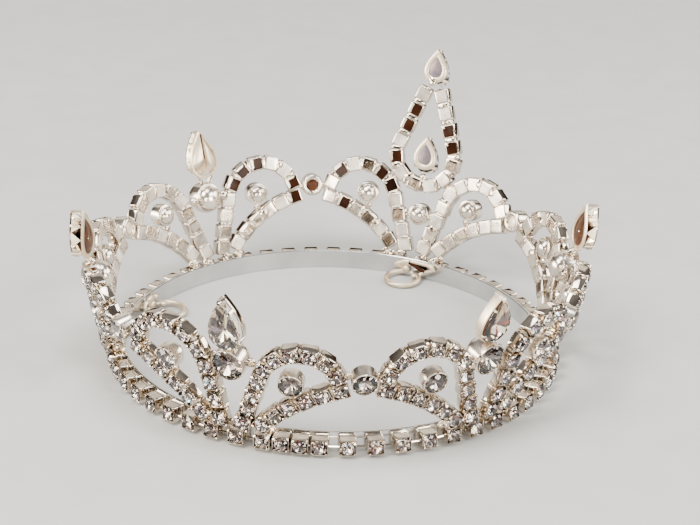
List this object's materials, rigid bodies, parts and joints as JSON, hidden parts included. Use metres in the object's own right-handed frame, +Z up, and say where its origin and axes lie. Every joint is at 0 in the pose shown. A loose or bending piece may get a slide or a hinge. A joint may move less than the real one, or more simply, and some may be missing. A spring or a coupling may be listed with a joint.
{
  "type": "crystal crown",
  "caption": "Full-round crown of soldered cup chain on a flat band: scrolled arches, upright pear finials and a tall pointed loop over the front.",
  "frame": {"origin": "middle of the plane that the band stands on", "axes": "+Z up; -Y towards the front peak; +X to the right of a viewer who faces the front"},
  "size_m": [0.156, 0.1641, 0.0761],
  "materials": {
    "silver_plate": "bright silver plate with cream solder at the joints",
    "chain_crystal": "foil-backed cut crystal, small round stones",
    "set_crystal": "foil-backed cut crystal, larger round and pear stones"
  },
  "bodies": {
    "root": {"crown_frame": "silver_plate", "base_stones": "chain_crystal", "peak_stones": "chain_crystal", "front_round_stone": "set_crystal", "inner_drop_stone": "set_crystal", "top_drop_stone": "set_crystal", "arch_stones_1": "chain_crystal", "arch_stones_2": "chain_crystal", "arch_stones_3": "chain_crystal", "arch_stones_4": "chain_crystal", "arch_stones_5": "chain_crystal", "arch_stones_6": "chain_crystal", "connector_stone_1": "set_crystal", "connector_stone_2": "set_crystal", "connector_stone_3": "set_crystal", "connector_stone_4": "set_crystal", "connector_stone_5": "set_crystal", "connector_stone_6": "set_crystal", "bud_stone_1": "set_crystal", "bud_stone_2": "set_crystal", "bud_stone_3": "set_crystal", "bud_stone_4": "set_crystal", "bud_stone_5": "set_crystal", "bud_stone_6": "set_crystal", "bud_stone_7": "set_crystal", "bud_stone_8": "set_crystal", "bud_stone_9": "set_crystal", "bud_stone_10": "set_crystal", "bud_stone_11": "set_crystal", "bud_stone_12": "set_crystal", "large_stone_1": "set_crystal", "large_stone_2": "set_crystal", "large_stone_3": "set_crystal", "large_stone_4": "set_crystal", "large_stone_5": "set_crystal", "finial_stone_1": "set_crystal", "finial_stone_2": "set_crystal", "finial_stone_3": "set_crystal", "finial_stone_4": "set_crystal", "finial_stone_5": "set_crystal"}
  },
  "joints": []
}
